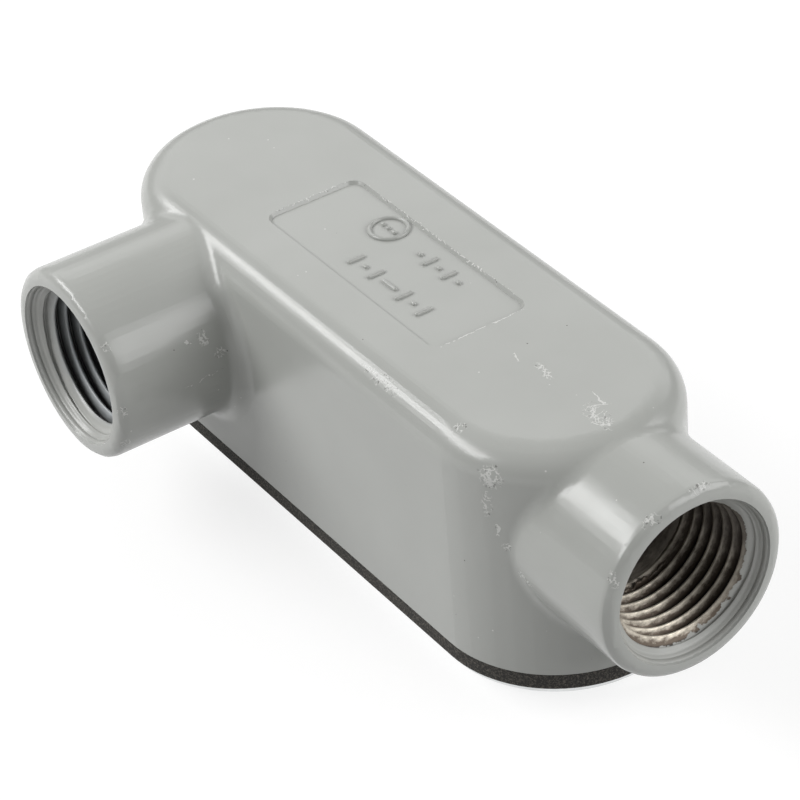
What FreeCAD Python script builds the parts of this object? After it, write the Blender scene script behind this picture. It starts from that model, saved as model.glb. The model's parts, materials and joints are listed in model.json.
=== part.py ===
import FreeCAD, Part
import math
import os
import Sketcher

# A die-cast conduit body with one hub on its end and one on its long side, lying on its cover.
# X runs along the body towards the end hub, the side hub points to -Y, and Z is up.
# The origin is at the middle of the cover's raised field, on the surface that it rests on.

V = FreeCAD.Vector
TOLERANCE = 1e-3
RIM_FLATS = 3  # flats that make up the quarter round of a hub's rim

doc = FreeCAD.newDocument("ConduitBody")
sheet = doc.addObject("Spreadsheet::Sheet", "Sizes")

driving_sizes = [
    # name, millimetres or degrees, meaning
    ("end_centres", 65.8, "between the centres of the body's two round ends"),
    ("body_width", 34.2, "across the body"),
    ("side_wall", 2.4, "wall round the wiring cavity"),
    ("back_wall", 2.6, "wall between the cavity and the back"),
    ("back_round", 4.3, "rounding of the back's outer edge"),
    ("cavity_bevel", 1.9, "bevel round the cavity's floor"),
    ("hub_diameter", 27.2, "outside of each hub"),
    ("hub_foot", 5.6, "from the open face up to the hubs' lowest line"),
    ("hub_drop", 0.8, "from the hubs' highest line up to the back"),
    ("end_hub_length", 11.9, "end hub beyond the body's end"),
    ("side_hub_length", 19.2, "side hub beyond the body's side"),
    ("side_hub_shift", 6.3, "side hub's axis from the blind end's centre, towards the middle"),
    ("hub_rim_round", 1.45, "rounding of a hub's rim"),
    ("hub_root_round", 2.6, "blend between a hub and the body"),
    ("thread_diameter", 21.4, "bore at the root of the pipe thread"),
    ("thread_depth", 14.2, "from a hub's face to the end of its thread"),
    ("mouth_diameter", 22.9, "lead-in at a hub's face"),
    ("mouth_depth", 1.7, "length of the lead-in"),
    ("throat_diameter", 15.0, "opening of the built-in bushing"),
    ("shoulder_run", 1.5, "sloping shoulder between the thread and the bushing"),
    ("bushing_length", 3.0, "from the end of the thread to the bushing's inner face"),
    ("bushing_bevel", 0.9, "bevel that keeps the bushing from cutting the wires"),
    ("relief_diameter", 20.4, "cored passage behind the side hub's bushing"),
    ("recess_length", 39.8, "shallow recess on the back"),
    ("recess_width", 14.9, "shallow recess on the back"),
    ("recess_corner", 1.8, "corner of the recess"),
    ("recess_depth", 0.45, "depth of the recess"),
    ("recess_slope", 35.0, "slope of the recess's walls, degrees"),
    ("recess_shift", 0.9, "recess's middle from the body's, towards the blind end"),
    ("screw_inset", 7.6, "from the body's end to a cover screw"),
    ("boss_diameter", 6.8, "boss that takes a cover screw"),
    ("boss_gap", 1.6, "between a boss's top and the level of the bushings' lips"),
    ("tapped_depth", 8.2, "full depth of the hole in a boss"),
    ("gasket_thickness", 2.35, "gasket, pressed"),
    ("gasket_inset", 0.1, "gasket's edge inside the body's edge"),
    ("gasket_rim", 3.6, "width of the gasket along its sides"),
    ("gasket_end", 12.0, "width of the gasket at its two ends"),
    ("cover_sheet", 1.1, "thickness of the cover's sheet metal"),
    ("cover_inset", 0.85, "cover's edge inside the body's edge"),
    ("field_height", 2.3, "height of the cover's raised field"),
    ("field_rim", 3.95, "flat of the cover beside the raised field"),
    ("field_end", 11.25, "flat of the cover at each end of the raised field"),
    ("field_slope", 45.0, "slope of the field's walls, degrees"),
    ("field_bend", 0.5, "inner radius of the sheet's bends"),
    ("screw_diameter", 3.5, "cover screw's shank"),
    ("screw_length", 11.1, "cover screw under its head"),
    ("head_diameter", 6.6, "cover screw's head"),
    ("head_height", 2.0, "cover screw's head"),
    ("slot_width", 1.1, "slot for the driver"),
    ("slot_depth", 1.0, "slot for the driver"),
    ("screw_play", 0.3, "room round a screw in the cover and the gasket"),
    ("tapped_play", 0.05, "room round a screw in its boss"),
    ("cut_over", 1.0, "how far a cutting shape runs past what it cuts"),
]
for row, (alias, size, meaning) in enumerate(driving_sizes, start=1):
    sheet.set("A%d" % row, meaning)
    sheet.set("B%d" % row, str(size))
    sheet.setAlias("B%d" % row, alias)
doc.recompute()

# Places and radii that follow from the driving sizes.
body_depth = "(Sizes.hub_foot + Sizes.hub_diameter + Sizes.hub_drop)"
hub_height = "(Sizes.hub_foot + Sizes.hub_diameter / 2)"
end_centre = "Sizes.end_centres / 2"
body_radius = "Sizes.body_width / 2"
cavity_radius = "(Sizes.body_width / 2 - Sizes.side_wall)"
hub_radius = "Sizes.hub_diameter / 2"
end_hub_reach = "(Sizes.end_centres / 2 + Sizes.body_width / 2 + Sizes.end_hub_length)"
side_hub_reach = "(Sizes.body_width / 2 + Sizes.side_hub_length)"
side_hub_place = "(Sizes.end_centres / 2 - Sizes.side_hub_shift)"
thread_radius = "Sizes.thread_diameter / 2"
throat_radius = "Sizes.throat_diameter / 2"
lip_radius = "(Sizes.throat_diameter / 2 + Sizes.bushing_bevel)"
socket_radius = "(Sizes.thread_diameter / 2 + Sizes.side_wall)"
bushing_reach = "(Sizes.thread_depth + Sizes.bushing_length)"
boss_height = "(%s - %s - Sizes.boss_gap)" % (hub_height, lip_radius)
screw_place = "(Sizes.end_centres / 2 + Sizes.body_width / 2 - Sizes.screw_inset)"
cover_radius = "(Sizes.body_width / 2 - Sizes.cover_inset)"
field_radius = "(%s - Sizes.field_rim)" % cover_radius
field_centre = "(%s + %s - Sizes.field_end - %s)" % (end_centre, cover_radius, field_radius)
rim_height = "Sizes.field_height"
gasket_height = "(Sizes.field_height + Sizes.cover_sheet)"
housing_height = "(Sizes.field_height + Sizes.cover_sheet + Sizes.gasket_thickness)"


def value(expression):
    return float(sheet.evalExpression(expression))


def new_body(label, lift):
    body = doc.addObject("PartDesign::Body", label)
    body.Label = label
    body.setExpression("Placement.Base.z", lift)
    return body


def new_sketch(body, name, role, shift=("0", "0", "0")):
    """A sketch on one of the body's origin planes, moved by shift in that plane's own axes."""
    sketch = body.newObject("Sketcher::SketchObject", name)
    plane = [feature for feature in body.Origin.OriginFeatures if feature.Role == role][0]
    sketch.AttachmentSupport = [(plane, "")]
    sketch.MapMode = "FlatFace"
    for axis, distance in zip("xyz", shift):
        sketch.setExpression("AttachmentOffset.Base." + axis, distance)
    return sketch


def hold(sketch, name, kind, *terms):
    """Adds a named constraint whose size is the last term, an expression."""
    index = sketch.addConstraint(Sketcher.Constraint(kind, *terms[:-1], value(terms[-1])))
    sketch.renameConstraint(index, name)
    sketch.setExpression("Constraints." + name, terms[-1])


def draw_polygon(sketch, corners):
    """Straight lines from corner to corner, each corner held by its two expressions."""
    points = [V(value(x), value(y), 0) for x, y in corners]
    count = len(points)
    for index in range(count):
        sketch.addGeometry(Part.LineSegment(points[index], points[(index + 1) % count]))
    for index in range(count):
        following = (index + 1) % count
        sketch.addConstraint(Sketcher.Constraint("Coincident", index, 2, following, 1))
    for index, (x, y) in enumerate(corners):
        hold(sketch, "x%d" % index, "DistanceX", index, 1, x)
        hold(sketch, "y%d" % index, "DistanceY", index, 1, y)


def draw_circle(sketch, name, x, y, radius):
    index = sketch.addGeometry(Part.Circle(V(value(x), value(y), 0), V(0, 0, 1), value(radius)))
    hold(sketch, name + "_x", "DistanceX", -1, 1, index, 3, x)
    hold(sketch, name + "_y", "DistanceY", -1, 1, index, 3, y)
    hold(sketch, name + "_r", "Radius", index, radius)


def draw_obround(sketch, centre, radius):
    """Two half circles, centre away from the origin along the sketch's x axis, and two tangents."""
    x = value(centre)
    r = value(radius)
    right = Part.ArcOfCircle(Part.Circle(V(x, 0, 0), V(0, 0, 1), r), -math.pi / 2, math.pi / 2)
    left = Part.ArcOfCircle(Part.Circle(V(-x, 0, 0), V(0, 0, 1), r), math.pi / 2, math.pi * 3 / 2)
    sketch.addGeometry([right, left])
    sketch.addGeometry(Part.LineSegment(V(x, r, 0), V(-x, r, 0)))
    sketch.addGeometry(Part.LineSegment(V(-x, -r, 0), V(x, -r, 0)))
    for first, first_end, second, second_end in ((0, 2, 2, 1), (2, 2, 1, 1), (1, 2, 3, 1), (3, 2, 0, 1)):
        sketch.addConstraint(Sketcher.Constraint("Tangent", first, first_end, second, second_end))
    sketch.addConstraint(Sketcher.Constraint("PointOnObject", 0, 3, -1))
    sketch.addConstraint(Sketcher.Constraint("PointOnObject", 1, 3, -1))
    sketch.addConstraint(Sketcher.Constraint("Equal", 0, 1))
    hold(sketch, "right_centre", "DistanceX", -1, 1, 0, 3, centre)
    hold(sketch, "left_centre", "DistanceX", 1, 3, -1, 1, centre)
    hold(sketch, "radius", "Radius", 0, radius)


def draw_round_rectangle(sketch, half_length, half_width, corner):
    """Four sides round the origin, joined by tangent quarter circles."""
    x = value(half_length)
    y = value(half_width)
    r = value(corner)
    quarter = math.pi / 2
    centres = ((x - r, y - r), (r - x, y - r), (r - x, r - y), (x - r, r - y))
    for index, (centre_x, centre_y) in enumerate(centres):
        circle = Part.Circle(V(centre_x, centre_y, 0), V(0, 0, 1), r)
        sketch.addGeometry(Part.ArcOfCircle(circle, index * quarter, (index + 1) * quarter))
    sides = ((x - r, y, r - x, y), (-x, y - r, -x, r - y), (r - x, -y, x - r, -y), (x, r - y, x, y - r))
    for x1, y1, x2, y2 in sides:
        sketch.addGeometry(Part.LineSegment(V(x1, y1, 0), V(x2, y2, 0)))
    for index in range(4):
        following = (index + 1) % 4
        sketch.addConstraint(Sketcher.Constraint("Tangent", index, 2, index + 4, 1))
        sketch.addConstraint(Sketcher.Constraint("Tangent", index + 4, 2, following, 1))
    for index in range(3):
        sketch.addConstraint(Sketcher.Constraint("Equal", index, index + 1))
    for index, direction in enumerate(("Horizontal", "Vertical", "Horizontal", "Vertical"), start=4):
        sketch.addConstraint(Sketcher.Constraint(direction, index))
    hold(sketch, "corner", "Radius", 0, corner)
    hold(sketch, "right", "DistanceX", -1, 1, 0, 1, half_length)
    hold(sketch, "top", "DistanceY", -1, 1, 0, 2, half_width)
    hold(sketch, "left", "DistanceX", 2, 1, -1, 1, half_length)
    hold(sketch, "bottom", "DistanceY", 2, 2, -1, 1, half_width)


def extrude(body, kind, sketch, length, taper=None, reverse=False):
    """A Pad or a Pocket of a sketch."""
    feature = body.newObject("PartDesign::" + kind, sketch.Name + kind)
    feature.Profile = sketch
    feature.setExpression("Length", length)
    if taper:
        feature.setExpression("TaperAngle", taper)
    feature.Reversed = reverse
    doc.recompute()
    return feature


def turn(body, kind, sketch, axis):
    """A Revolution or a Groove of a sketch about one of its own axes."""
    feature = body.newObject("PartDesign::" + kind, sketch.Name + kind)
    feature.Profile = sketch
    feature.ReferenceAxis = (sketch, [axis])
    feature.Angle = 360
    doc.recompute()
    return feature


def edges_where(feature, test):
    """The names of the feature's edges all of whose sample points pass the test."""
    names = []
    for number, edge in enumerate(feature.Shape.Edges, start=1):
        if all(test(point) for point in edge.discretize(7)):
            names.append("Edge%d" % number)
    return names


def blend_edges(body, name, kind, feature, edges, size):
    """A Fillet or a Chamfer of some of the feature's edges."""
    blend = body.newObject("PartDesign::" + kind, name)
    blend.Base = (feature, edges)
    blend.setExpression("Radius" if kind == "Fillet" else "Size", size)
    doc.recompute()
    return blend


def at_height(height):
    level = value(height)
    return lambda point: abs(point.z - level) < TOLERANCE


# Housing: the obround box, its two hubs, and everything cored out of them.

housing = new_body("housing", housing_height)

outline = new_sketch(housing, "BodyOutline", "XY_Plane")
draw_obround(outline, end_centre, body_radius)
box = extrude(housing, "Pad", outline, body_depth)
back_edges = edges_where(box, at_height(body_depth))
blend_edges(housing, "BackRound", "Fillet", box, back_edges, "Sizes.back_round")


def hub_profile(sketch, sign, start, face):
    """Half section of a solid hub. The quarter round of its rim is drawn as equal flats."""
    corners = [(sign + start, "0"), (sign + start, hub_radius)]
    for step in range(RIM_FLATS + 1):
        angle = 90 * step / RIM_FLATS
        corners.append((
            "%s(%s - Sizes.hub_rim_round * (1 - sin(%g)))" % (sign, face, angle),
            "%s - Sizes.hub_rim_round * (1 - cos(%g))" % (hub_radius, angle),
        ))
    draw_polygon(sketch, corners + [(sign + face, "0")])


end_hub = new_sketch(housing, "EndHub", "XZ_Plane", ("0", hub_height, "0"))
hub_profile(end_hub, "", end_centre, end_hub_reach)
turn(housing, "Revolution", end_hub, "H_Axis")

side_hub = new_sketch(housing, "SideHub", "YZ_Plane", ("0", hub_height, "-" + side_hub_place))
hub_profile(side_hub, "-", "0", side_hub_reach)
hubs = turn(housing, "Revolution", side_hub, "H_Axis")

end_rim = value(end_hub_reach + " - Sizes.hub_rim_round")
side_rim = -value(side_hub_reach + " - Sizes.hub_rim_round")
axis_height = value(hub_height)
side_axis = -value(side_hub_place)


def end_hub_radius(point):
    return ((point.z - axis_height) ** 2 + point.y ** 2) ** 0.5


def side_hub_radius(point):
    return ((point.z - axis_height) ** 2 + (point.x - side_axis) ** 2) ** 0.5


def near(measured, wanted):
    return abs(measured - value(wanted)) < TOLERANCE


def hub_roots(feature):
    """Where a hub's cylinder meets the body: curved edges on the cylinder, away from its rim."""
    curved = [
        "Edge%d" % number
        for number, edge in enumerate(feature.Shape.Edges, start=1)
        if edge.Curve.TypeId != "Part::GeomLine"
    ]
    on_end_hub = edges_where(
        feature, lambda p: near(end_hub_radius(p), hub_radius) and p.x < end_rim - TOLERANCE)
    on_side_hub = edges_where(
        feature, lambda p: near(side_hub_radius(p), hub_radius) and p.y > side_rim + TOLERANCE)
    return [name for name in curved if name in on_end_hub or name in on_side_hub]


blend_edges(housing, "HubRoots", "Fillet", hubs, hub_roots(hubs), "Sizes.hub_root_round")

cavity_outline = new_sketch(housing, "CavityOutline", "XY_Plane")
draw_obround(cavity_outline, end_centre, cavity_radius)
cavity_depth = "(%s - Sizes.back_wall)" % body_depth
cavity = extrude(housing, "Pocket", cavity_outline, cavity_depth, reverse=True)
cavity_floor = edges_where(cavity, at_height(cavity_depth))
blend_edges(housing, "CavityBevel", "Chamfer", cavity, cavity_floor, "Sizes.cavity_bevel")

# The end hub's thread runs deeper than the wall, so a short socket stands into the cavity.
end_bushing_place = "(%s - %s)" % (end_hub_reach, bushing_reach)
socket = new_sketch(housing, "EndSocket", "YZ_Plane", ("0", hub_height, end_bushing_place))
draw_circle(socket, "socket", "0", "0", socket_radius)
extrude(housing, "Pad", socket, "%s - %s + %s" % (end_centre, end_bushing_place, cavity_radius))

# Bosses for the cover screws: a web stands out from each end wall and ends in a round nose.
for sign, name in (("", "HubEndBoss"), ("-", "BlindEndBoss")):
    web = new_sketch(housing, name + "Web", "XY_Plane")
    web_start = sign + screw_place
    web_end = sign + "(" + end_centre + " + " + cavity_radius + " + Sizes.side_wall / 2)"
    half_web = "Sizes.boss_diameter / 2"
    draw_polygon(web, [(web_start, "-" + half_web), (web_end, "-" + half_web), (web_end, half_web),
                       (web_start, half_web)])
    extrude(housing, "Pad", web, boss_height)
    nose = new_sketch(housing, name + "Nose", "XY_Plane")
    draw_circle(nose, "nose", sign + screw_place, "0", half_web)
    extrude(housing, "Pad", nose, boss_height)


def bore_profile(sketch, sign, face, inner):
    """Half section of a hub's bore: lead-in, thread bore, shoulder and bushing, then the inner points."""
    def at(depth):
        return "%s(%s - %s)" % (sign, face, depth)

    corners = [
        (at("-Sizes.cut_over"), "0"),
        (at("-Sizes.cut_over"), "Sizes.mouth_diameter / 2"),
        (at("0"), "Sizes.mouth_diameter / 2"),
        (at("Sizes.mouth_depth"), thread_radius),
        (at("Sizes.thread_depth"), thread_radius),
        (at("(Sizes.thread_depth + Sizes.shoulder_run)"), throat_radius),
        (at("(%s - Sizes.bushing_bevel)" % bushing_reach), throat_radius),
        (at(bushing_reach), lip_radius),
    ]
    draw_polygon(sketch, corners + [(at(depth), radius) for depth, radius in inner])


end_bore = new_sketch(housing, "EndBore", "XZ_Plane", ("0", hub_height, "0"))
end_bore_depth = "(" + bushing_reach + " + Sizes.cut_over)"
bore_profile(end_bore, "", end_hub_reach,
             [(end_bore_depth, lip_radius), (end_bore_depth, "0")])
turn(housing, "Groove", end_bore, "H_Axis")

side_bore = new_sketch(housing, "SideBore", "YZ_Plane",
                       ("0", hub_height, "-" + side_hub_place))
side_bore_depth = "(%s - %s + Sizes.cut_over)" % (side_hub_reach, cavity_radius)
bore_profile(side_bore, "-", side_hub_reach,
             [(bushing_reach, "Sizes.relief_diameter / 2"),
              (side_bore_depth, "Sizes.relief_diameter / 2"), (side_bore_depth, "0")])
turn(housing, "Groove", side_bore, "H_Axis")

tapped = new_sketch(housing, "TappedHoles", "XY_Plane")
tapped_radius = "(Sizes.screw_diameter / 2 + Sizes.tapped_play)"
draw_circle(tapped, "hub_end", screw_place, "0", tapped_radius)
draw_circle(tapped, "blind_end", "-" + screw_place, "0", tapped_radius)
extrude(housing, "Pocket", tapped, "Sizes.tapped_depth", reverse=True)

recess = new_sketch(housing, "BackRecess", "XY_Plane", ("-Sizes.recess_shift", "0", body_depth))
draw_round_rectangle(recess, "Sizes.recess_length / 2", "Sizes.recess_width / 2", "Sizes.recess_corner")
extrude(housing, "Pocket", recess, "Sizes.recess_depth", taper="-Sizes.recess_slope")

# Gasket: a flat obround with an obround window, solid at its ends where the screws pass.

gasket = new_body("cover_gasket", gasket_height)
gasket_outline = new_sketch(gasket, "GasketOutline", "XY_Plane")
draw_obround(gasket_outline, end_centre, body_radius + " - Sizes.gasket_inset")
extrude(gasket, "Pad", gasket_outline, "Sizes.gasket_thickness")
window = new_sketch(gasket, "GasketWindow", "XY_Plane")
window_radius = "(" + body_radius + " - Sizes.gasket_rim)"
window_centre = "%s + %s - Sizes.gasket_end - %s" % (end_centre, body_radius, window_radius)
draw_obround(window, window_centre, window_radius)
extrude(gasket, "Pocket", window, "Sizes.gasket_thickness", reverse=True)
gasket_holes = new_sketch(gasket, "GasketHoles", "XY_Plane")
clear_radius = "(Sizes.screw_diameter / 2 + Sizes.screw_play)"
draw_circle(gasket_holes, "hub_end", screw_place, "0", clear_radius)
draw_circle(gasket_holes, "blind_end", "-" + screw_place, "0", clear_radius)
extrude(gasket, "Pocket", gasket_holes, "Sizes.gasket_thickness", reverse=True)

# Cover: one stamped sheet, a flat rim with a field that is pressed outwards.

cover = new_body("cover", rim_height)
cover_outline = new_sketch(cover, "CoverOutline", "XY_Plane")
draw_obround(cover_outline, end_centre, cover_radius)
extrude(cover, "Pad", cover_outline, "Sizes.cover_sheet")
field = new_sketch(cover, "FieldOutside", "XY_Plane")
draw_obround(field, field_centre, field_radius)
extrude(cover, "Pad", field, "Sizes.field_height", taper="-Sizes.field_slope", reverse=True)
hollow = new_sketch(cover, "FieldInside", "XY_Plane", ("0", "0", "Sizes.cover_sheet"))
inside_radius = "(%s - Sizes.cover_sheet * tan(Sizes.field_slope / 2))" % field_radius
draw_obround(hollow, field_centre, inside_radius)
pressed = extrude(cover, "Pocket", hollow, "Sizes.field_height", taper="-Sizes.field_slope")


def field_edges(feature, height, radius=None):
    """Edges of the field at one height, and where a radius is given, that far from its middle line."""
    half_line = value(field_centre)

    def test(point):
        beyond = max(abs(point.x) - half_line, 0)
        off_line = (beyond ** 2 + point.y ** 2) ** 0.5
        return near(point.z, height) and (radius is None or near(off_line, radius))

    return edges_where(feature, test)


# Each bend is a flat between the two points where its curve would leave the sheet.
inner_flat = "(Sizes.field_bend * tan(Sizes.field_slope / 2))"
outer_flat = "((Sizes.field_bend + Sizes.cover_sheet) * tan(Sizes.field_slope / 2))"
outer_bends = field_edges(pressed, "-Sizes.field_height")
outer_bends += field_edges(pressed, "Sizes.cover_sheet", inside_radius)
bent = blend_edges(cover, "OuterBends", "Chamfer", pressed, outer_bends, outer_flat)
inner_bends = field_edges(bent, "0", field_radius)
inner_bends += field_edges(bent, "Sizes.cover_sheet - Sizes.field_height")
blend_edges(cover, "InnerBends", "Chamfer", bent, inner_bends, inner_flat)
cover_holes = new_sketch(cover, "CoverHoles", "XY_Plane")
draw_circle(cover_holes, "hub_end", screw_place, "0", clear_radius)
draw_circle(cover_holes, "blind_end", "-" + screw_place, "0", clear_radius)
extrude(cover, "Pocket", cover_holes, "Sizes.cover_sheet", reverse=True)

# Cover screws: a turned shank and head with a driver slot, point up.


def make_screw(label, sign):
    screw = new_body(label, rim_height)
    screw.setExpression("Placement.Base.x", sign + screw_place)
    section = new_sketch(screw, label + "_section", "XZ_Plane")
    shank = "Sizes.screw_diameter / 2"
    draw_polygon(section, [
        ("0", "-Sizes.head_height"),
        ("Sizes.head_diameter / 2", "-Sizes.head_height"),
        ("Sizes.head_diameter / 2", "0"),
        (shank, "0"),
        (shank, "Sizes.screw_length"),
        ("0", "Sizes.screw_length"),
    ])
    turn(screw, "Revolution", section, "V_Axis")
    slot = new_sketch(screw, label + "_slot", "XY_Plane", ("0", "0", "-Sizes.head_height"))
    half_slot = "Sizes.slot_width / 2"
    reach = "Sizes.head_diameter / 2 + Sizes.cut_over"
    draw_polygon(slot, [("-(" + reach + ")", "-" + half_slot), (reach, "-" + half_slot),
                        (reach, half_slot), ("-(" + reach + ")", half_slot)])
    extrude(screw, "Pocket", slot, "Sizes.slot_depth", reverse=True)
    return screw


hub_end_screw = make_screw("cover_screw_hub_end", "")
blind_end_screw = make_screw("cover_screw_blind_end", "-")

# Check the document, then write each sub-part to the file that its label names.

doc.recompute()
for item in doc.Objects:
    if "Invalid" in item.State or "Error" in item.State:
        raise RuntimeError("feature failed: " + item.Label)
os.makedirs("parts", exist_ok=True)
for body in (housing, gasket, cover, hub_end_screw, blind_end_screw):
    if body.Shape.isNull() or not body.Shape.isValid():
        raise RuntimeError("bad shape: " + body.Label)
    body.Shape.exportStep("parts/" + body.Label + ".step")
    print(body.Label, "solids", len(body.Shape.Solids), "volume %.1f" % body.Shape.Volume)
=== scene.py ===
import json
import math

import bmesh
import bpy
import numpy as np
from mathutils import Matrix, Vector


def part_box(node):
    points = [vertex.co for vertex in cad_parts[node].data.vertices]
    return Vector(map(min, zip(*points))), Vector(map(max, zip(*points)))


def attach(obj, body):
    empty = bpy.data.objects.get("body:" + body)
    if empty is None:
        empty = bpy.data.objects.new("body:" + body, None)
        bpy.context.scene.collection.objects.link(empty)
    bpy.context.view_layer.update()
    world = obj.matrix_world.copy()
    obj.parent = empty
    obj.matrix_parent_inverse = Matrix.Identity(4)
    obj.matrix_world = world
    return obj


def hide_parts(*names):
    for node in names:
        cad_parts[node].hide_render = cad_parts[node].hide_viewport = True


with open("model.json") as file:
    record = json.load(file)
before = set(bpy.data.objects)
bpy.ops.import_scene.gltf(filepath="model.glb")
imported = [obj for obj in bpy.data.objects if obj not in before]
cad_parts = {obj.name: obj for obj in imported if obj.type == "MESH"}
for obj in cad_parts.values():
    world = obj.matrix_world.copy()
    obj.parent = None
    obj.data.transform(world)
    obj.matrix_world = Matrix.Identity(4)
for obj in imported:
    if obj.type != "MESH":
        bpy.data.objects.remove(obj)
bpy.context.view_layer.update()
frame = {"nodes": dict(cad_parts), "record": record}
print("frame loaded:", ", ".join(sorted(frame["nodes"])))

millimetre = 0.001
mounts = {mount["name"]: mount for mount in frame["record"]["mounts"]}
housingLow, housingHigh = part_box("housing")
hubAxisHeight = mounts["end_hub"]["pos_m"][2] / millimetre
sideHubPlace = mounts["side_hub"]["pos_m"][0] / millimetre
endHubFace = housingHigh.x / millimetre
sideHubFace = housingLow.y / millimetre
backHeight = housingHigh.z / millimetre


# Meshes from whole arrays

def gridQuads(rows, columns, wrapRows, wrapColumns):
    # Quads of a grid whose points are numbered row by row; a wrapped side joins its last line to its first.
    rowCount = rows if wrapRows else rows - 1
    columnCount = columns if wrapColumns else columns - 1
    row, column = np.meshgrid(np.arange(rowCount), np.arange(columnCount), indexing="ij")
    nextRow = (row + 1) % rows
    nextColumn = (column + 1) % columns
    corners = (row * columns + column, row * columns + nextColumn,
               nextRow * columns + nextColumn, nextRow * columns + column)
    return np.stack([corner.ravel() for corner in corners], axis=1)


def makePiece(name, points, quads, material):
    # points are millimetres in the frame's axes, quads are rows of four point numbers.
    mesh = bpy.data.meshes.new(name)
    mesh.vertices.add(len(points))
    mesh.vertices.foreach_set("co", (np.asarray(points) * millimetre).ravel())
    mesh.loops.add(quads.size)
    mesh.loops.foreach_set("vertex_index", quads.ravel())
    mesh.polygons.add(len(quads))
    mesh.polygons.foreach_set("loop_start", np.arange(0, quads.size, 4))
    mesh.update(calc_edges=True)
    mesh.validate()
    mesh.shade_smooth()
    piece = bpy.data.objects.new(name, mesh)
    bpy.context.scene.collection.objects.link(piece)
    mesh.materials.append(material)
    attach(piece, "root")
    return piece


def closeShell(piece):
    # Merges the points that fall together, then turns every face outwards.
    shell = bmesh.new()
    shell.from_mesh(piece.data)
    bmesh.ops.remove_doubles(shell, verts=shell.verts, dist=1e-8)
    bmesh.ops.recalc_face_normals(shell, faces=shell.faces)
    shell.to_mesh(piece.data)
    shell.free()


# Materials

def colour(red, green, blue):
    return (red, green, blue, 1.0)


class Nodes:
    # A material's node tree with short calls for the nodes that the finishes below use.

    def __init__(self, name):
        self.material = bpy.data.materials.new(name)
        self.material.use_nodes = True
        self.tree = self.material.node_tree
        self.shader = self.tree.nodes["Principled BSDF"]
        self.place = self.add("ShaderNodeTexCoord").outputs["Object"]

    def add(self, kind, **values):
        node = self.tree.nodes.new(kind)
        for key, value in values.items():
            setattr(node, key, value)
        return node

    def put(self, socket, value):
        if isinstance(value, bpy.types.NodeSocket):
            self.tree.links.new(value, socket)
        else:
            socket.default_value = value

    def math(self, operation, first, second=0.0, third=0.0):
        node = self.add("ShaderNodeMath", operation=operation)
        for socket, value in zip(node.inputs, (first, second, third)):
            self.put(socket, value)
        return node.outputs[0]

    def vector(self, operation, *values):
        node = self.add("ShaderNodeVectorMath", operation=operation)
        for socket, value in zip(node.inputs, values):
            self.put(socket, value)
        return node

    def stretched(self, scale):
        node = self.add("ShaderNodeMapping")
        self.put(node.inputs["Vector"], self.place)
        node.inputs["Scale"].default_value = scale
        return node.outputs["Vector"]

    def noise(self, scale, detail=3.0, roughness=0.55, place=None, output="Fac"):
        node = self.add("ShaderNodeTexNoise")
        self.put(node.inputs["Vector"], place or self.place)
        self.put(node.inputs["Scale"], scale)
        self.put(node.inputs["Detail"], detail)
        self.put(node.inputs["Roughness"], roughness)
        return node.outputs[output]

    def dots(self, scale, least, added, bare):
        # Round dots in cells: one random value of a cell leaves some bare, and another widens the dot.
        cell = self.add("ShaderNodeTexVoronoi", feature="F1")
        self.put(cell.inputs["Vector"], self.place)
        self.put(cell.inputs["Scale"], scale)
        chance = self.add("ShaderNodeSeparateColor")
        self.put(chance.inputs[0], cell.outputs["Color"])
        size = self.math("MULTIPLY_ADD", chance.outputs[1], added, least)
        there = self.math("GREATER_THAN", chance.outputs[0], bare)
        within = self.math("LESS_THAN", cell.outputs["Distance"], size)
        return self.math("MULTIPLY", there, within)

    def ramp(self, value, low, high, start=0.0, end=1.0):
        # Straight rise from start to end while value goes from low to high.
        node = self.add("ShaderNodeMapRange", clamp=True)
        for socket, number in zip(node.inputs, (value, low, high, start, end)):
            self.put(socket, number)
        return node.outputs[0]

    def mix(self, factor, first, second):
        node = self.add("ShaderNodeMix", data_type="RGBA")
        self.put(node.inputs["Factor"], factor)
        self.put(node.inputs["A"], first)
        self.put(node.inputs["B"], second)
        return node.outputs["Result"]

    def bump(self, height, distance, strength):
        node = self.add("ShaderNodeBump")
        self.put(node.inputs["Height"], height)
        node.inputs["Distance"].default_value = distance
        node.inputs["Strength"].default_value = strength
        return node.outputs["Normal"]


# Satin enamel of the casting, with its dust, scratches and rubbed places, and painted highlight lines along
# the recess's edges. Noise scales count cells in a metre, and a Run is where a ramp starts and ends.

enamelLook = {
    "low": (0.385, 0.393, 0.373),            # the two tones of the soft clouding
    "high": (0.408, 0.416, 0.396),
    "cloudScale": 45,
    "cloudRun": (0.35, 0.65),
    "dark": (0.14, 0.14, 0.13),              # in pinholes and pits
    "rubbedAndHighlight": (0.72, 0.72, 0.70),            # dust, wear and the painted highlight lines
    "pinholes": (430, 0.022, 0.030, 0.86),   # cell scale, least and added radius in cells, share left bare
    "dust": (520, 0.030, 0.045, 0.80),
    "dustCover": 0.6,
    "wearAndHighlightCover": 0.62,
    "pitCover": 0.8,
    "roughness": (0.22, 0.27),
    "roughnessScale": 300,
    "roughnessRun": (0.3, 0.7),
    "wearAndHighlightRoughness": 0.25,                   # added where worn and on the painted highlight lines
    "peelScale": 320,
    "peel": 0.10,                            # share of the relief that the peel takes
    "pinholeDepth": 0.5,                     # and a pinhole
    "relief": 0.00012,                       # metres
    "reliefStrength": 1.0,
}

# Pattern of the wear, also used for the painted highlight lines along the recess's edges.
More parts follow.
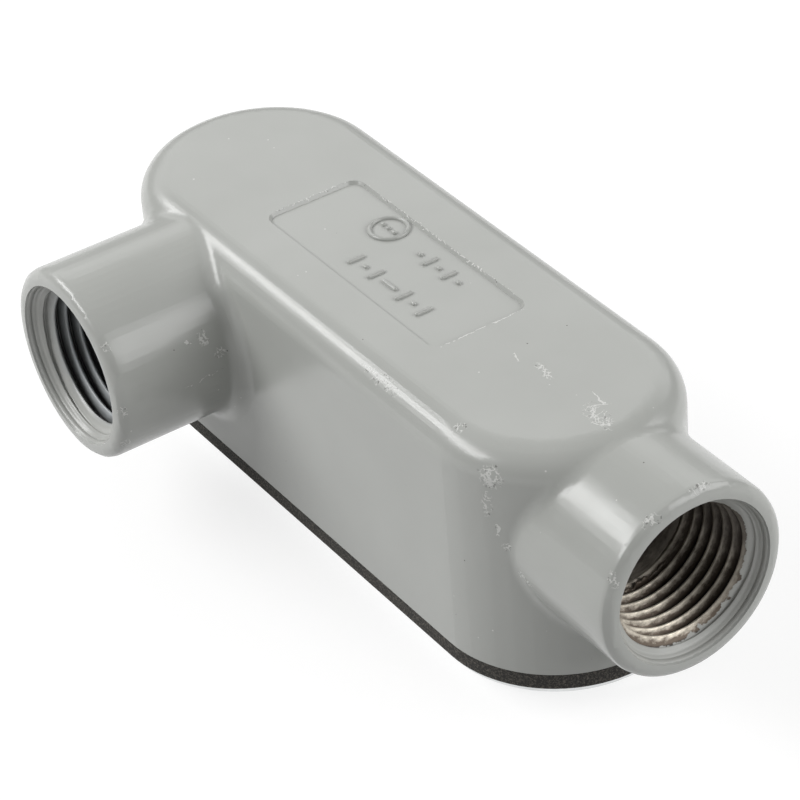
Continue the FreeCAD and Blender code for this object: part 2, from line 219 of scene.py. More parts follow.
wearAndHighlightLook = {
    "strayScale": 900,
    "stray": 0.0012,                # metres that the outlines of the worn places wander over
    "edgeRun": (0.35, 1.0),         # the cover falls to nothing between these shares of the half sizes
    "lineScale": 1100,
    "lineRoughness": 0.6,
    "fleckScale": 3200,
    "fleckRoughness": 0.7,
    "fleckShare": 0.10,
    "coverShare": 0.16,
    "wornAndHighlightRun": (1.03, 1.07),
    "pitScale": 2100,
    "pitRun": (1.01, 1.08),
    "pitGain": (0.4, 0.0),          # what a patch adds to the noise of the pits, and a scratch
    "pitGainRun": (0.4, 1.6),
    "insideRun": (0.0, 0.12),
    "detail": 2,
}

# Rubbed places and scratches as ellipsoids: centre, half sizes and turn in millimetres and degrees, then
# how much of the inside the lines cover; above one, a scratch is solid. The last three are painted
# highlights along the recess's edges.
wearAndHighlightPlaces = (
    ((43.3, 0.0, 39.3), (3.2, 1.5, 1.0), (0, 0, -12), 0.52),
    ((40.6, 2.2, 39.3), (2.0, 0.13, 0.5), (0, 0, -8), 3.0),
    ((41.6, 1.2, 39.3), (1.7, 0.12, 0.5), (0, 0, 62), 3.0),
    ((42.6, -0.2, 39.3), (1.6, 0.16, 0.5), (0, 0, -52), 2.0),
    ((44.9, -0.9, 39.3), (1.3, 0.15, 0.5), (0, 0, 40), 2.0),
    ((45.6, -0.5, 39.3), (1.7, 0.8, 0.6), (0, 0, -30), 0.62),
    ((31.6, 0.4, 39.3), (2.4, 0.7, 0.6), (0, 0, -6), 0.60),
    ((26.9, -0.5, 39.3), (1.3, 0.14, 0.5), (0, 0, -12), 2.4),
    ((29.6, 0.6, 39.3), (0.9, 0.13, 0.5), (0, 0, 50), 2.4),
    ((34.2, -14.0, 38.4), (1.4, 0.9, 1.2), (0, 0, 40), 0.70),
    ((19.0, -15.4, 38.2), (5.0, 1.0, 1.2), (0, 0, 0), 0.35),
    ((41.3, -14.9, 35.9), (2.0, 1.8, 1.9), (0, 0, 0), 0.62),
    ((40.7, -15.2, 31.8), (0.9, 1.0, 2.4), (0, 0, 0), 0.55),
    ((41.7, -14.6, 28.0), (0.28, 0.9, 1.6), (24, 0, 0), 1.3),
    ((42.7, -14.0, 25.6), (0.9, 0.9, 0.7), (0, 0, 0), 0.70),
    ((44.9, -13.2, 21.6), (1.6, 1.2, 0.8), (0, 40, 0), 0.65),
    ((-14.0, -22.2, 30.0), (1.1, 0.9, 1.2), (0, 0, 0), 1.0),
    ((-14.3, -24.6, 30.2), (0.5, 0.5, 0.9), (25, 0, 0), 1.4),
    ((-13.1, -20.4, 27.4), (0.8, 1.3, 0.9), (0, 0, 0), 0.65),
    ((-13.0, -23.6, 24.4), (0.6, 4.2, 0.08), (5, 0, 0), 0.8),
    ((-15.8, -35.4, 33.6), (1.0, 0.8, 1.0), (0, 0, 0), 0.65),
    ((-13.6, -35.6, 24.5), (0.8, 0.9, 1.1), (0, 0, 0), 0.70),
    ((-14.6, -35.4, 18.0), (0.8, 0.9, 1.3), (0, 0, 0), 0.60),
    ((61.3, -6.0, 37.0), (0.9, 1.8, 0.8), (0, 0, 0), 0.60),
    ((61.2, 1.6, 38.2), (0.8, 2.4, 0.6), (0, 0, 0), 0.50),
    ((61.4, -11.8, 31.4), (0.8, 0.8, 1.8), (0, 0, 0), 0.55),
    # Painted highlights: light lines along the far side and the two ends of the recess.
    ((-0.9, 7.5, 39.3), (19.8, 0.10, 0.4), (0, 0, 0), 0.75),
    ((-20.8, 0.0, 39.3), (0.12, 7.2, 0.4), (0, 0, 0), 0.60),
    ((19.1, 0.0, 39.3), (0.12, 7.4, 0.4), (0, 0, 0), 1.60),
)


def patchCover(nodes, place, centre, sizes, turn, cover):
    # The ellipsoid's cover at its heart, falling to nothing at its surface.
    spot = nodes.add("ShaderNodeMapping", vector_type="TEXTURE")
    nodes.put(spot.inputs["Vector"], place)
    spot.inputs["Location"].default_value = [part * millimetre for part in centre]
    spot.inputs["Rotation"].default_value = [math.radians(part) for part in turn]
    spot.inputs["Scale"].default_value = [part * millimetre for part in sizes]
    span = nodes.vector("LENGTH", spot.outputs["Vector"]).outputs["Value"]
    return nodes.ramp(span, *wearAndHighlightLook["edgeRun"], cover, 0.0)


def makeWearAndHighlight(nodes):
    # Wear is thin wandering lines, the ridges of a noise, kept only inside the ellipsoids and wider where
    # the cover is greater; the same mask carries the painted highlight lines along the recess's edges. Pits
    # are specks of the worn patches, where another noise is high; scratches have none.
    stray = wearAndHighlightLook["stray"]
    wander = nodes.noise(wearAndHighlightLook["strayScale"], detail=2, roughness=0.5, output="Color")
    shifted = nodes.vector("MULTIPLY_ADD", wander, (stray, stray, stray), nodes.place).outputs["Vector"]
    place = nodes.vector("SUBTRACT", shifted, (stray / 2, stray / 2, stray / 2)).outputs["Vector"]
    inside = patchCover(nodes, place, *wearAndHighlightPlaces[0])
    for patchPlace in wearAndHighlightPlaces[1:]:
        inside = nodes.math("MAXIMUM", inside, patchCover(nodes, place, *patchPlace))
    lines = nodes.noise(wearAndHighlightLook["lineScale"], wearAndHighlightLook["detail"], wearAndHighlightLook["lineRoughness"])
    centred = nodes.math("MULTIPLY_ADD", lines, 2.0, -1.0)
    ridge = nodes.math("SUBTRACT", 1.0, nodes.math("ABSOLUTE", centred))
    flecks = nodes.noise(wearAndHighlightLook["fleckScale"], wearAndHighlightLook["detail"], wearAndHighlightLook["fleckRoughness"])
    wearAndHighlight = nodes.math("ADD", nodes.math("MULTIPLY", inside, wearAndHighlightLook["coverShare"]),
                      nodes.math("MULTIPLY_ADD", flecks, wearAndHighlightLook["fleckShare"], ridge))
    gain = nodes.ramp(inside, *wearAndHighlightLook["pitGainRun"], *wearAndHighlightLook["pitGain"])
    pits = nodes.math("ADD", gain, nodes.noise(wearAndHighlightLook["pitScale"], wearAndHighlightLook["detail"]))
    within = nodes.ramp(inside, *wearAndHighlightLook["insideRun"])
    wearAndHighlight = nodes.math("MULTIPLY", nodes.ramp(wearAndHighlight, *wearAndHighlightLook["wornAndHighlightRun"]), within)
    pits = nodes.math("MULTIPLY", nodes.ramp(pits, *wearAndHighlightLook["pitRun"]), within)
    return wearAndHighlight, pits


def makeEnamel(name):
    # A gray base with soft clouding, then pinholes and dust, then the places where the mask of wear and
    # painted highlight lightens the colour and roughens it, with dark pits. Peel and pinholes give the
    # relief.
    nodes = Nodes(name)
    cloud = nodes.ramp(nodes.noise(enamelLook["cloudScale"], detail=2), *enamelLook["cloudRun"])
    dark, rubbedAndHighlight = colour(*enamelLook["dark"]), colour(*enamelLook["rubbedAndHighlight"])
    pinholes = nodes.dots(*enamelLook["pinholes"])
    dust = nodes.dots(*enamelLook["dust"])
    wearAndHighlight, pits = makeWearAndHighlight(nodes)
    base = nodes.mix(cloud, colour(*enamelLook["low"]), colour(*enamelLook["high"]))
    base = nodes.mix(pinholes, base, dark)
    base = nodes.mix(nodes.math("MULTIPLY", dust, enamelLook["dustCover"]), base, rubbedAndHighlight)
    # Wear, and the painted highlight lines along the recess's edges, lighten the colour.
    base = nodes.mix(nodes.math("MULTIPLY", wearAndHighlight, enamelLook["wearAndHighlightCover"]), base, rubbedAndHighlight)
    base = nodes.mix(nodes.math("MULTIPLY", pits, enamelLook["pitCover"]), base, dark)
    nodes.put(nodes.shader.inputs["Base Color"], base)
    rough = nodes.noise(enamelLook["roughnessScale"])
    rough = nodes.ramp(rough, *enamelLook["roughnessRun"], *enamelLook["roughness"])
    rough = nodes.math("ADD", rough, nodes.math("MULTIPLY", wearAndHighlight, enamelLook["wearAndHighlightRoughness"]))
    nodes.put(nodes.shader.inputs["Roughness"], rough)
    height = nodes.math("MULTIPLY", nodes.noise(enamelLook["peelScale"], detail=1), enamelLook["peel"])
    height = nodes.math("SUBTRACT", height, nodes.math("MULTIPLY", pinholes, enamelLook["pinholeDepth"]))
    nodes.put(nodes.shader.inputs["Normal"],
              nodes.bump(height, enamelLook["relief"], enamelLook["reliefStrength"]))
    return nodes.material


# Metal of the two threads: crests take the light tone with a painted glint, flanks a dark painted shade,
# and the grooves' roots are darkest, also painted shade

threadLook = {
    # The groove colour is painted shade in the roots of the thread.
    "groove": (0.012, 0.010, 0.009),
    "grooveRun": (0.70, 0.95),
    "enamel": (0.41, 0.415, 0.395),       # that ran in at the mouth
    "grainScale": 700,
    "grainRoughness": 0.7,
    "paintScale": 700,
    "paintEnd": 2.5,                      # depth at which the enamel stops, wandering by paintWander
    "paintWander": 1.3,
    "paintStart": 0.04,                   # its edge starts to fade this far before the end
    "paintSmooth": 0.1,                   # share of the grain's relief left under it
    "paintThickness": 0.6,
    "reliefStrength": 0.8,
}

bareLook = {
    # Crest is the bare metal's light tone with a painted glint; the flank colour is painted shade.
    "crest": (0.86, 0.79, 0.67),
    "shadedFlank": (0.16, 0.125, 0.095),
    "toneRun": (0.68, 1.22),
    "grainShare": 1.4,
    "grainStretch": (3.5, 1.0, 1.0),
    "paintFade": 0.04,                    # the enamel's edge is gone this far past its end
    "relief": 0.00014,
    "roughness": (0.34, 0.50),
    "roughnessRun": (0.3, 0.7),
    "metallic": 0.45,
    # Dark brown painted shade, on the bore's upper side and deep in its throat.
    "shadeBrown": (0.045, 0.036, 0.028),
    "shadedSide": (0.0, 0.50, 0.87),       # direction in which the painted shade grows, towards the bore's upper side
    "shadeRun": (0.014, 0.029),           # metres along it
    "shadeCover": 0.92,
    "shadeScale": 160,
    "shadeWander": 0.006,
    "shoulderRun": (13.5, 14.3),          # depths between which the painted shade closes all round
    "shoulderCover": 0.7,
    "throatRun": (15.2, 15.6),            # depths between which the painted shade turns as dark as the grooves
}

paintedLook = {
    # Crest is close to the enamel with a painted glint; the flank colour is painted shade.
    "crest": (0.42, 0.44, 0.45),
    "shadedFlank": (0.15, 0.158, 0.16),
    "toneRun": (0.25, 0.75),
    "grainShare": 0.3,
    "grainStretch": (1.0, 3.5, 1.0),
    "paintFade": 1.5,
    "relief": 0.00003,
    "roughness": 0.30,
}


def shadedSide(nodes, base):
    # Painted shade: the metal darkens with the distance towards the bore's upper side, plus a noise that
    # makes its edge wander.
    towards = nodes.vector("DOT_PRODUCT", nodes.place, bareLook["shadedSide"]).outputs["Value"]
    wander = nodes.noise(bareLook["shadeScale"], detail=2)
    level = nodes.math("MULTIPLY_ADD", wander, bareLook["shadeWander"], towards)
    cover = nodes.ramp(level, *bareLook["shadeRun"], 0.0, bareLook["shadeCover"])
    return nodes.mix(cover, base, colour(*bareLook["shadeBrown"]))


def darkenThroat(nodes, base, depth):
    # Painted shade deep in the bore: it covers the metal all round with depth, and the throat behind it is
    # as dark as a groove.
    cover = nodes.ramp(depth, *bareLook["shoulderRun"], 0.0, bareLook["shoulderCover"])
    base = nodes.mix(cover, base, colour(*bareLook["shadeBrown"]))
    return nodes.mix(nodes.ramp(depth, *bareLook["throatRun"]), base, colour(*threadLook["groove"]))


def makeThreadMetal(name, look):
    # The tone follows the groove, light with a painted glint on the crests and dark with painted shade down
    # the flanks, plus a grain drawn out round the bore. Near the mouth the enamel runs in and stops at a
    # ragged edge, which is depth plus a noise, cut at one level. Only the bare metal gets painted shade on
    # the bore's upper side and deep in its throat.
    nodes = Nodes(name)
    bare = look is bareLook
    groove = nodes.add("ShaderNodeAttribute", attribute_name="groove").outputs["Fac"]
    depth = nodes.add("ShaderNodeAttribute", attribute_name="depth").outputs["Fac"]
    grain = nodes.noise(threadLook["grainScale"], detail=5, roughness=threadLook["grainRoughness"],
                        place=nodes.stretched(look["grainStretch"]))
    # The groove attribute sets painted shade on the flanks and a painted glint on the crests.
    tone = nodes.ramp(nodes.math("MULTIPLY_ADD", grain, look["grainShare"], groove), *look["toneRun"])
    base = nodes.mix(tone, colour(*look["crest"]), colour(*look["shadedFlank"]))
    # Painted shade on the upper side of the bore, for the bare metal only.
    if bare:
        base = shadedSide(nodes, base)
    # Painted shade in the roots of the thread.
    base = nodes.mix(nodes.ramp(groove, *threadLook["grooveRun"]), base, colour(*threadLook["groove"]))
    wander = nodes.noise(threadLook["paintScale"], detail=4)
    edge = nodes.math("MULTIPLY_ADD", wander, threadLook["paintWander"], depth)
    cut = threadLook["paintEnd"] + threadLook["paintWander"] / 2
    painted = nodes.ramp(edge, cut - threadLook["paintStart"], cut + look["paintFade"], 1.0, 0.0)
    base = nodes.mix(painted, base, colour(*threadLook["enamel"]))
    roughness = look["roughness"]
    # Bare metal only: painted shade deep in the bore, then its roughness and shine.
    if bare:
        base = darkenThroat(nodes, base, depth)
        roughness = nodes.ramp(grain, *look["roughnessRun"], *roughness)
        nodes.put(nodes.shader.inputs["Metallic"], nodes.ramp(painted, 0.0, 1.0, look["metallic"], 0.0))
    nodes.put(nodes.shader.inputs["Base Color"], base)
    nodes.put(nodes.shader.inputs["Roughness"], roughness)
    relief = nodes.math("MULTIPLY", grain, nodes.ramp(painted, 0.0, 1.0, 1.0, threadLook["paintSmooth"]))
    relief = nodes.math("MULTIPLY_ADD", painted, threadLook["paintThickness"], relief)
    nodes.put(nodes.shader.inputs["Normal"],
              nodes.bump(relief, look["relief"], threadLook["reliefStrength"]))
    return nodes.material


# Black composition sheet of the gasket

gasketLook = {
    "dark": (0.020, 0.019, 0.017),
    "speck": (0.15, 0.135, 0.115),
    "grainScale": 3400,
    "grainRoughness": 0.75,
    "speckRun": (0.46, 0.72),
    "roughness": 0.85,
    "relief": 0.0002,
    "reliefStrength": 0.8,
}


def makeGasketSheet(name):
    # One fine noise gives the brown specks and the relief.
    nodes = Nodes(name)
    grain = nodes.noise(gasketLook["grainScale"], roughness=gasketLook["grainRoughness"])
    specks = nodes.ramp(grain, *gasketLook["speckRun"])
    nodes.put(nodes.shader.inputs["Base Color"],
              nodes.mix(specks, colour(*gasketLook["dark"]), colour(*gasketLook["speck"])))
    nodes.shader.inputs["Roughness"].default_value = gasketLook["roughness"]
    nodes.put(nodes.shader.inputs["Normal"],
              nodes.bump(grain, gasketLook["relief"], gasketLook["reliefStrength"]))
    return nodes.material


# Bright sheet of the cover and steel of its screws

sheetLook = {
    "aluminium": (0.80, 0.81, 0.81),
    "aluminiumRoughness": 0.28,
    "zinc": (0.62, 0.62, 0.60),
    "zincRoughness": 0.32,
    "metallic": 0.9,
    "streakScale": 300,
    "streakStretch": (0.1, 1.0, 1.0),
    "streakRun": (0.35, 0.65),
    "streakTone": 0.88,                   # of a dark streak, as a share of the metal's own tone
    "roughnessRun": (0.3, 0.7),
    "roughnessRise": 0.1,
    "relief": 0.00002,
    "reliefStrength": 0.5,
}


def makeSheetMetal(name, tint, roughness):
    # Long streaks along the body darken the metal, roughen it and stand up a little.
    nodes = Nodes(name)
    streaks = nodes.noise(sheetLook["streakScale"], place=nodes.stretched(sheetLook["streakStretch"]))
    darkTint = [part * sheetLook["streakTone"] for part in tint]
    nodes.put(nodes.shader.inputs["Base Color"],
              nodes.mix(nodes.ramp(streaks, *sheetLook["streakRun"]), colour(*tint), colour(*darkTint)))
    nodes.shader.inputs["Metallic"].default_value = sheetLook["metallic"]
    roughest = roughness + sheetLook["roughnessRise"]
    nodes.put(nodes.shader.inputs["Roughness"],
              nodes.ramp(streaks, *sheetLook["roughnessRun"], roughness, roughest))
    nodes.put(nodes.shader.inputs["Normal"],
              nodes.bump(streaks, sheetLook["relief"], sheetLook["reliefStrength"]))
    return nodes.material


enamel = makeEnamel("satinEnamel")
bareThread = makeThreadMetal("bareThreadMetal", bareLook)
paintedThread = makeThreadMetal("paintedThread", paintedLook)
gasketSheet = makeGasketSheet("gasketComposition")
coverSheet = makeSheetMetal("stampedAluminium", sheetLook["aluminium"], sheetLook["aluminiumRoughness"])
screwSteel = makeSheetMetal("zincSteel", sheetLook["zinc"], sheetLook["zincRoughness"])
print("materials made")

frame["nodes"]["cover_gasket"].data.materials[0] = gasketSheet
frame["nodes"]["cover"].data.materials[0] = coverSheet
for screwNode in ("cover_screw_hub_end", "cover_screw_blind_end"):
    frame["nodes"][screwNode].data.materials[0] = screwSteel


# The casting: the solid's own faces joined up, so that light runs evenly across its blends

casting = {
    "name": "housingCasting",
    "mergeDistance": 2e-6,        # metres
    "facetLength": 3.0,           # longest facet along and across the body
    "cutDistance": 1e-6,          # metres
    "creaseDegrees": 30.0,        # steeper edges stay crisp
    "faceWeight": 100,            # how far large facets win over small ones in the shading
}


def makeCasting():
    # Merges the solid's loose triangles, cuts them every few millimetres both ways and evens out their
    # normals.
    mesh = frame["nodes"]["housing"].data.copy()
    mesh.name = casting["name"]
    shell = bmesh.new()
    shell.from_mesh(mesh)
    bmesh.ops.remove_doubles(shell, verts=shell.verts, dist=casting["mergeDistance"])
    step = casting["facetLength"] * millimetre
    for axis in (Vector((1, 0, 0)), Vector((0, 1, 0))):
        for place in np.arange(housingLow.dot(axis) + step, housingHigh.dot(axis), step):
            bmesh.ops.bisect_plane(shell, geom=shell.verts[:] + shell.edges[:] + shell.faces[:],
                                   dist=casting["cutDistance"], plane_co=axis * place, plane_no=axis)
    shell.to_mesh(mesh)
    shell.free()
    if mesh.has_custom_normals:
        mesh.attributes.remove(mesh.attributes["custom_normal"])
    mesh.shade_smooth()
    mesh.set_sharp_from_angle(angle=math.radians(casting["creaseDegrees"]))
    piece = bpy.data.objects.new(casting["name"], mesh)
    bpy.context.scene.collection.objects.link(piece)
    weighted = piece.modifiers.new("evenLight", "WEIGHTED_NORMAL")
    weighted.keep_sharp = True
    weighted.weight = casting["faceWeight"]
    mesh.materials.clear()
    mesh.materials.append(enamel)
    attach(piece, "root")
    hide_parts("housing")


makeCasting()
print("casting made")


# Pipe threads in the two hubs

thread = {
    "pitch": 25.4 / 14,
    "boreRadius": 10.69,          # just inside the solid's bore
    "rootRadius": 10.62,          # at the hub's face
    "depth": 1.25,                # crest above root
    "crestFlat": 0.12,            # shares of the saw wave that the flat tips take
    "rootFlat": 0.10,
    "taper": 1 / 32,              # loss of radius along the axis
    "start": 1.55,                # first row, from the hub's face
    "end": 14.2,                  # last row, at the sloping shoulder
    "fadeRun": 2.0,               # length over which the turns die out
    "leadSlope": 0.9,
    "endHubPhase": 2.78,          # depth of a crest where the angle is zero
    "sideHubPhase": 2.4,
    "around": 192,
    "rowsPerTurn": 18,
    # depth and radius of each row of the mouth's two cones with a fine line between them
    "mouth": ((0.15, 11.40), (0.45, 11.22), (0.80, 11.02), (0.88, 11.08),
              (0.96, 10.98), (1.25, 10.84), (1.5, 10.72)),
    "mouthRadius": 11.45,
    "mouthDepth": 1.75,
    "shoulder": ((15.5, 7.50), (15.65, 7.44), (15.85, 7.42), (17.0, 7.42)),
    "shoulderTone": 0.3,          # of its groove attribute, which sets how much painted shade it takes
    "backing": 0.14,              # of the liner's outer side into the hub's wall
    "flashDepth": 13.2,           # where torn flash stands up from the last turn
    "flashHeight": 1.2,
    "flashRun": 0.16,             # half its width along the bore
    "flashSide": -1.52,           # angle of its middle, low in the bore
    "flashSwell": (5.0, 4.1),     # steepness of its ends, and what they are cut by
    "flashLevel": 0.7,
    "flashRipples": ((17, 0.40, 0.0), (43, 0.30, 2.0)),    # waves round the bore, height and shift
    "flashLimits": (0.1, 1.3),
}


def flashShare(angle):
    # A steep cosine about the flash's middle, cut off to a short stretch, times a level with two sine
    # ripples.
    steepness, cut = thread["flashSwell"]
    swell = np.clip(steepness * np.cos(angle - thread["flashSide"]) - cut, 0, 1)
    ripple = thread["flashLevel"]
    for waves, height, shift in thread["flashRipples"]:
        ripple = ripple + height * np.sin(waves * angle + shift)
    return swell * np.clip(ripple, *thread["flashLimits"])


def threadSurface(phase, angle):
    # Radius at each depth and angle: a 60 degree saw wave with flattened tips wound as a right-hand helix,
    # narrowing with depth, trimmed by a lead-in cone at the mouth and dying out above the shoulder. Torn
    # flash is a narrow bell curve of depth, times its share at each angle.
    rows = int((thread["end"] - thread["start"]) / thread["pitch"] * thread["rowsPerTurn"]) + 1
    depth = np.linspace(thread["start"], thread["end"], rows)[:, None]
    turn = (depth - phase) / thread["pitch"] + angle / (2 * math.pi)
    wave = 1 - 2 * np.abs(turn - np.round(turn))
    crest = np.clip((wave - thread["rootFlat"]) / (1 - thread["crestFlat"] - thread["rootFlat"]), 0, 1)
    fade = np.clip((depth - (thread["end"] - thread["fadeRun"])) / thread["fadeRun"], 0, 1)
    full = np.maximum(crest, fade)
    radius = thread["rootRadius"] - thread["taper"] * depth - thread["depth"] * full
    leadIn = thread["rootRadius"] - thread["leadSlope"] * (depth - thread["start"])
    ridge = np.exp(-((depth - thread["flashDepth"]) / thread["flashRun"]) ** 2)
    radius = np.maximum(radius, leadIn) - thread["flashHeight"] * ridge * flashShare(angle)
    return np.broadcast_to(depth, radius.shape), radius, 1 - full


def ringRows(places, tone, angle):
    # Grids that repeat each (depth, radius) place round the bore, with one groove tone.
    depth, radius = np.array(places).T[:, :, None] + 0 * angle
    return depth, radius, np.full_like(depth, tone)


def outerPlaces():
    # The liner's outer side, from the throat back to the mouth.
    shoulder = thread["shoulder"]
    places = (shoulder[-1], shoulder[0], (thread["end"], thread["boreRadius"]),
              (thread["mouthDepth"], thread["boreRadius"]), (thread["mouthDepth"], thread["mouthRadius"]),
              (thread["mouth"][0][0], thread["mouthRadius"]))
    return [(depth, radius + thread["backing"]) for depth, radius in places]


def makeThread(name, phase, place, material):
    # The liner runs from the mouth's cones down the thread, over the shoulder and along the throat, then
    # back inside the hub's wall.
    angle = np.linspace(0, 2 * math.pi, thread["around"], endpoint=False)
    bands = (ringRows(thread["mouth"], 0.0, angle), threadSurface(phase, angle),
             ringRows(thread["shoulder"], thread["shoulderTone"], angle),
             ringRows(outerPlaces(), 0.0, angle))
    depth, radius, groove = (np.vstack(grids) for grids in zip(*bands))
    points = place(depth.ravel(), radius.ravel(), np.broadcast_to(angle, depth.shape).ravel())
    quads = gridQuads(len(depth), thread["around"], True, True)
    piece = makePiece(name, points, quads, material)
    for label, values in (("groove", groove), ("depth", depth)):
        layer = piece.data.attributes.new(label, "FLOAT", "POINT")
        layer.data.foreach_set("value", values.ravel().astype(np.float32))
    closeShell(piece)


def endHubPoints(depth, radius, angle):
    # Depth runs in from the end hub's face; the angle runs from +Y to +Z.
    return np.stack([endHubFace - depth, radius * np.cos(angle), hubAxisHeight + radius * np.sin(angle)], 1)


def sideHubPoints(depth, radius, angle):
    # Depth runs in from the side hub's face; the angle runs from +X to +Z.
    return np.stack([sideHubPlace + radius * np.cos(angle), sideHubFace + depth,
                     hubAxisHeight + radius * np.sin(angle)], 1)


makeThread("endHubThread", thread["endHubPhase"], endHubPoints, bareThread)
makeThread("sideHubThread", thread["sideHubPhase"], sideHubPoints, paintedThread)
print("threads cut")


# Plain raised marks in the recess on the back

marks = {
    "recessDepth": 0.45,
    "height": 0.41,
    "sunk": 0.05,                 # foot below the recess's floor
    "stroke": 0.62,
    "dome": 0.6,                  # power of the sine that rounds the edges; lower is flatter on top
    "around": 40,
    "rings": 7,
    "ringPlace": (-8.0, 4.0),
    "ringRadius": 2.6,
    "ringAround": 72,
    "ringRows": 11,
    # place, length and turn of each bar
    "bars": (
        (-8.0, 4.0, 0.62, 0), (-9.3, 4.0, 0.8, 0), (-6.7, 4.0, 0.8, 0),
        (-0.2, 3.7, 0.9, 0), (2.0, 3.7, 2.5, 90), (4.1, 3.7, 0.9, 0), (6.2, 3.7, 2.5, 90),
        (8.4, 3.7, 0.9, 0),
        (-4.7, -3.4, 2.7, 90), (-2.4, -3.4, 0.9, 0), (-0.1, -3.4, 2.7, 90), (3.1, -3.4, 3.2, 0),
        (6.3, -3.4, 2.7, 90), (8.6, -3.4, 0.9, 0), (10.9, -3.4, 2.7, 90),
    ),
}
recessFloor = backHeight - marks["recessDepth"]


def domeRows():
    # From a mark's sunk foot up and over to its middle: the inset is one minus a cosine, as a share of the
    # half width, and the height is a power of the sine.
    angle = np.linspace(0, math.pi / 2, marks["rings"])
    inset = np.concatenate([[0.0], 1 - np.cos(angle), [1.0]])
    top = marks["height"] * np.sin(angle) ** marks["dome"]
    return inset, np.concatenate([[-marks["sunk"]], top, [marks["height"]]])


def barPoints(x, y, length, turn):
    # A bar with half-round ends: every row keeps the middle line and shrinks the half width about it.
    inset, height = domeRows()
    angle = np.linspace(0, 2 * math.pi, marks["around"], endpoint=False)
    halfLine = max(length - marks["stroke"], 0.0) / 2
    halfWidth = marks["stroke"] / 2 * (1 - inset)[:, None]
    along = np.where(np.cos(angle) >= 0, halfLine, -halfLine) + halfWidth * np.cos(angle)
    across = halfWidth * np.sin(angle)
    turned = math.radians(turn)
    px = x + along * math.cos(turned) - across * math.sin(turned)
    py = y + along * math.sin(turned) + across * math.cos(turned)
    pz = recessFloor + height[:, None] + 0 * px
    return np.stack([px.ravel(), py.ravel(), pz.ravel()], 1)


def barQuads():
    # The dome's rows, then strips across the foot that join its two sides.
    dome = gridQuads(len(domeRows()[0]), marks["around"], False, True)[:, ::-1]
    foot = np.arange(marks["around"])
    strip = np.arange(marks["around"] // 2 - 1)
    sole = np.stack([foot[strip], foot[strip + 1], foot[-strip - 2], foot[-strip - 1]], 1)
    return np.vstack([dome, sole])


def ringPoints():
    # A half-round bead carried round a circle: its height is the sine of an angle that runs from one foot
    # to the other, and its radius goes with the cosine.
    circle = np.linspace(0, 2 * math.pi, marks["ringAround"], endpoint=False)[:, None]
    section = np.linspace(0, math.pi, marks["ringRows"])[None, :]
    radius = marks["ringRadius"] + marks["stroke"] / 2 * np.cos(section) + 0 * circle
    isFoot = np.sin(section) < 1e-6
    height = marks["height"] * np.sin(section) - marks["sunk"] * isFoot + 0 * circle
    return np.stack([(marks["ringPlace"][0] + radius * np.cos(circle)).ravel(),
                     (marks["ringPlace"][1] + radius * np.sin(circle)).ravel(),
                     (recessFloor + height).ravel()], 1)


def makeMarks():
    points, quads, count = [], [], 0
    for bar in marks["bars"]:
        points.append(barPoints(*bar))
        quads.append(barQuads() + count)
        count += len(points[-1])
    points.append(ringPoints())
    quads.append(gridQuads(marks["ringAround"], marks["ringRows"], True, True) + count)
    piece = makePiece("castMarks", np.vstack(points), np.vstack(quads), enamel)
    closeShell(piece)


makeMarks()
print("marks raised")


# Floor, light and camera

stage = {
    "floorSize": 6.0,
    "bounce": 0.45,               # floor as the object sees it
    "shadowTone": 0.30,           # floor as the camera sees it, over the glow
    "glow": 0.75,
    "ambient": 0.22,              # of the world on the object; the camera sees it white
    "reach": 1.0,                 # from the object to each soft box
}

# Azimuth and elevation of each soft box, its width and height as angles, and its radiance.
softBoxes = {
    "leftBox": (-127.0, 39.5, 56.0, 18.0, 8.7),
    "rightBox": (42.0, 30.0, 52.0, 34.0, 3.9),
    "backBox": (148.0, 33.0, 90.0, 22.0, 1.2),
}


def makeFloor():
    # Camera, mirror and glass rays see the glowing floor, and the object gets only its bounce.
    half = stage["floorSize"] / 2
    corners = [(-half, -half, 0), (half, -half, 0), (half, half, 0), (-half, half, 0)]
    mesh = bpy.data.meshes.new("floor")
    mesh.from_pydata(corners, [], [(0, 1, 2, 3)])
    floor = bpy.data.objects.new("floor", mesh)
    bpy.context.scene.collection.objects.link(floor)
    nodes = Nodes("paleFloor")
    path = nodes.add("ShaderNodeLightPath")
    seen = nodes.math("MAXIMUM", path.outputs["Is Camera Ray"], path.outputs["Is Glossy Ray"])
    seen = nodes.math("MAXIMUM", seen, path.outputs["Is Transmission Ray"])
    tone = nodes.ramp(seen, 0.0, 1.0, stage["bounce"], stage["shadowTone"])
    nodes.put(nodes.shader.inputs["Base Color"], tone)
    nodes.shader.inputs["Roughness"].default_value = 1.0
    nodes.shader.inputs["Specular IOR Level"].default_value = 0.0
    nodes.shader.inputs["Emission Color"].default_value = colour(1, 1, 1)
    nodes.put(nodes.shader.inputs["Emission Strength"], nodes.math("MULTIPLY", seen, stage["glow"]))
    mesh.materials.append(nodes.material)


def makeWorld():
    world = bpy.data.worlds.new("softRoom")
    world.use_nodes = True
    tree = world.node_tree
    background = tree.nodes["Background"]
    background.inputs["Color"].default_value = colour(1, 1, 1)
    path = tree.nodes.new("ShaderNodeLightPath")
    strength = tree.nodes.new("ShaderNodeMapRange")
    strength.inputs["To Min"].default_value = stage["ambient"]
    strength.inputs["To Max"].default_value = 1.0
    tree.links.new(path.outputs["Is Camera Ray"], strength.inputs["Value"])
    tree.links.new(strength.outputs["Result"], background.inputs["Strength"])
    bpy.context.scene.world = world


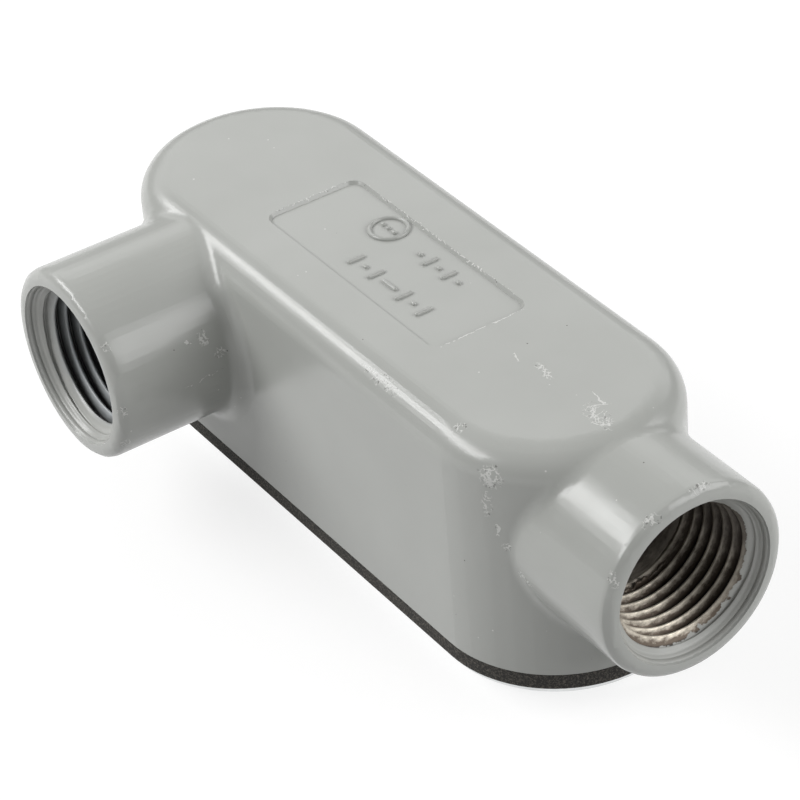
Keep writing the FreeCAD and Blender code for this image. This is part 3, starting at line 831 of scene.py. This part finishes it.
def makeSoftBox(name, azimuth, elevation, wide, high, radiance):
    # A flat lamp's power is its radiance times pi times its area.
    azimuth, elevation, wide, high = (math.radians(part) for part in (azimuth, elevation, wide, high))
    data = bpy.data.lights.new(name, "AREA")
    data.shape = "RECTANGLE"
    data.size = 2 * stage["reach"] * math.tan(wide / 2)
    data.size_y = 2 * stage["reach"] * math.tan(high / 2)
    data.energy = radiance * math.pi * data.size * data.size_y
    lamp = bpy.data.objects.new(name, data)
    bpy.context.scene.collection.objects.link(lamp)
    toward = Vector((math.cos(azimuth) * math.cos(elevation), math.sin(azimuth) * math.cos(elevation),
                     math.sin(elevation)))
    lamp.location = toward * stage["reach"]
    lamp.rotation_euler = toward.to_track_quat("Z", "Y").to_euler()


makeFloor()
makeWorld()
for boxName, boxPlace in softBoxes.items():
    makeSoftBox(boxName, *boxPlace)

view = {
    "azimuth": 58.372,            # from -Y towards +X
    "elevation": 35.913,
    "roll": -4.768,
    "distance": 454.9,
    "target": (1.60, -0.15, 17.76),
    "lens": 153.77,
    "shift": (-0.0185, 0.0042),
    "clip": (0.01, 20),           # metres
}


def makeCamera():
    azimuth, elevation, roll = (math.radians(view[key]) for key in ("azimuth", "elevation", "roll"))
    back = Vector((math.sin(azimuth) * math.cos(elevation), -math.cos(azimuth) * math.cos(elevation),
                   math.sin(elevation)))
    right = (-back).cross(Vector((0, 0, 1))).normalized()
    up = right.cross(-back)
    tilted = right * math.cos(roll) + up * math.sin(roll)
    upright = up * math.cos(roll) - right * math.sin(roll)
    data = bpy.data.cameras.new("camera")
    data.lens = view["lens"]
    data.shift_x, data.shift_y = view["shift"]
    data.clip_start, data.clip_end = view["clip"]
    camera = bpy.data.objects.new("camera", data)
    bpy.context.scene.collection.objects.link(camera)
    place = (Vector(view["target"]) + back * view["distance"]) * millimetre
    turned = Matrix((tilted, upright, back)).transposed().to_4x4()
    camera.matrix_world = Matrix.Translation(place) @ turned
    bpy.context.scene.camera = camera


makeCamera()
bpy.context.scene.view_settings.view_transform = "Standard"
print("stage, light and camera set")
